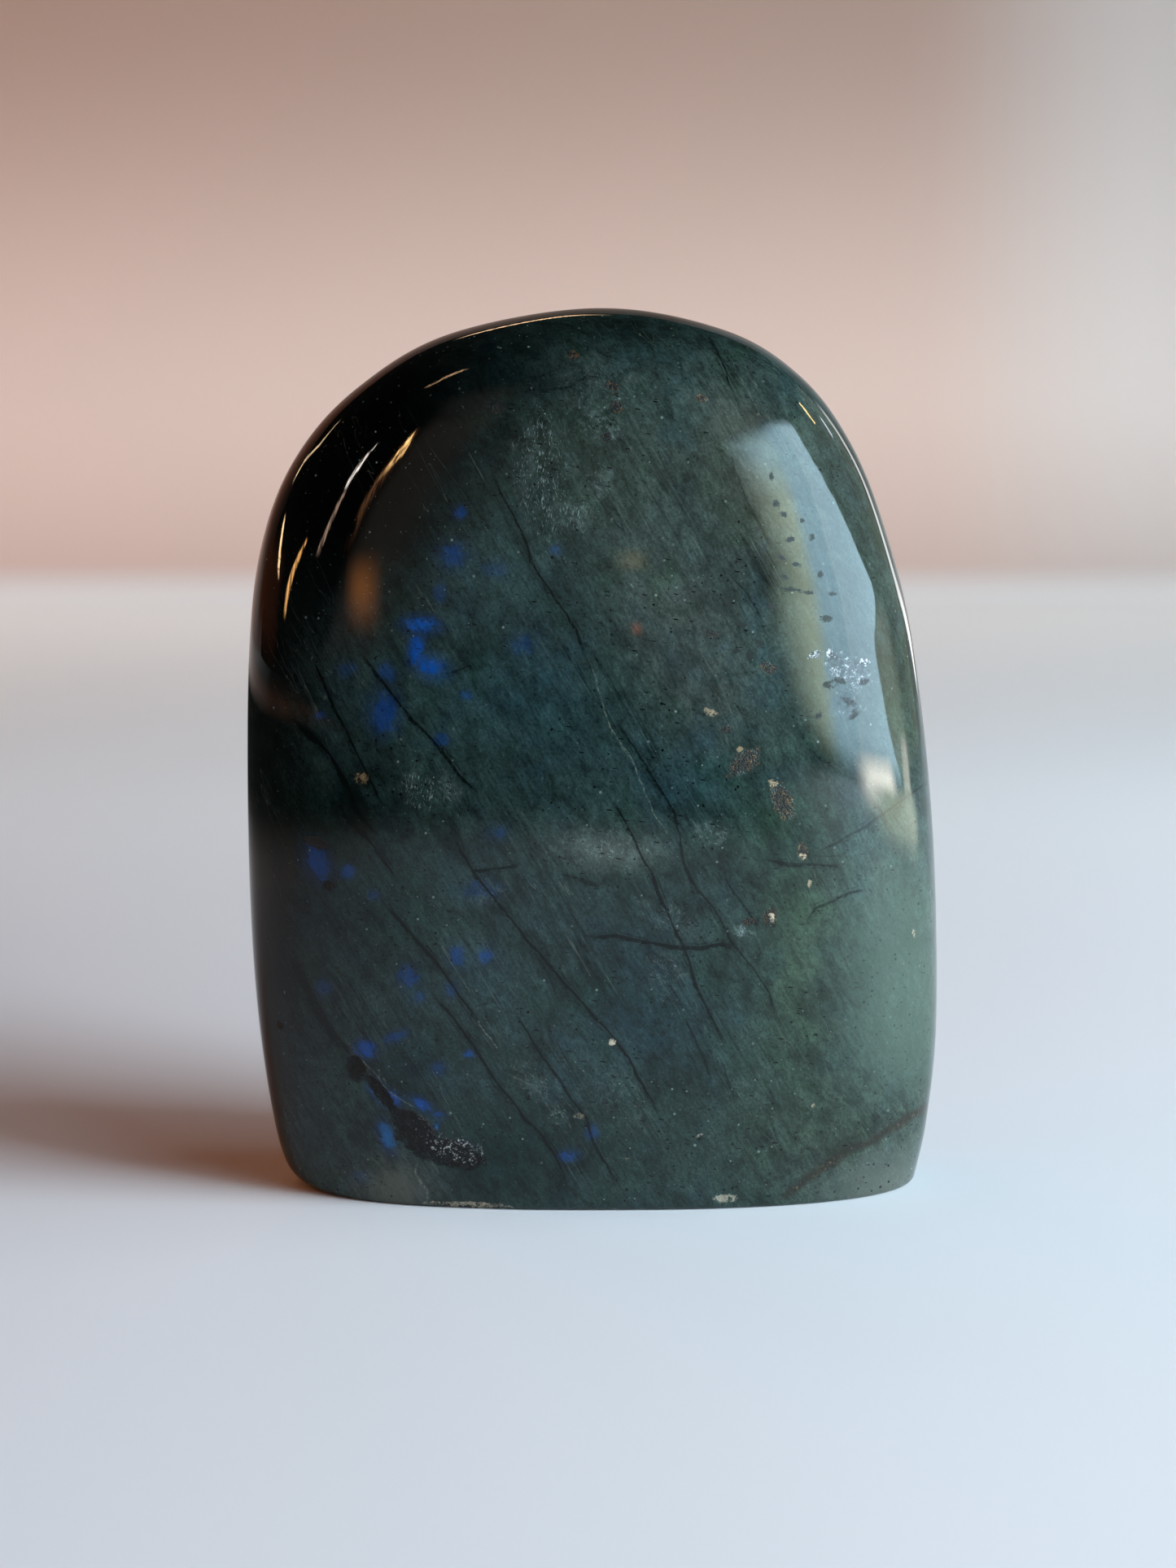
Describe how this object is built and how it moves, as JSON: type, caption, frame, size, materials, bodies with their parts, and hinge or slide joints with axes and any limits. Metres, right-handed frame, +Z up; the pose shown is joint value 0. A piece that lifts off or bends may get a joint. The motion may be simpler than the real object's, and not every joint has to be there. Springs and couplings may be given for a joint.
{
  "type": "polished labradorite",
  "caption": "Free-standing polished labradorite: a rounded, arch-topped slab of dark blue-green stone that stands on its flat sawn base.",
  "frame": {"origin": "middle of the flat base, on the plane that the stone stands on, below the middle of the stone's bounding box", "axes": "+Z up through the rounded top; +X to the right across the broad polished face, seen from its front; +Y from the broad front face into the stone"},
  "size_m": [0.0793, 0.0326, 0.1],
  "materials": {
    "polished_labradorite": "high polish; dark blue-green to grey-green feldspar with dark cleavage lines, small blue flashes, pale laths and a few brown pits"
  },
  "bodies": {
    "root": {"labradorite_stone": "polished_labradorite"}
  },
  "joints": []
}
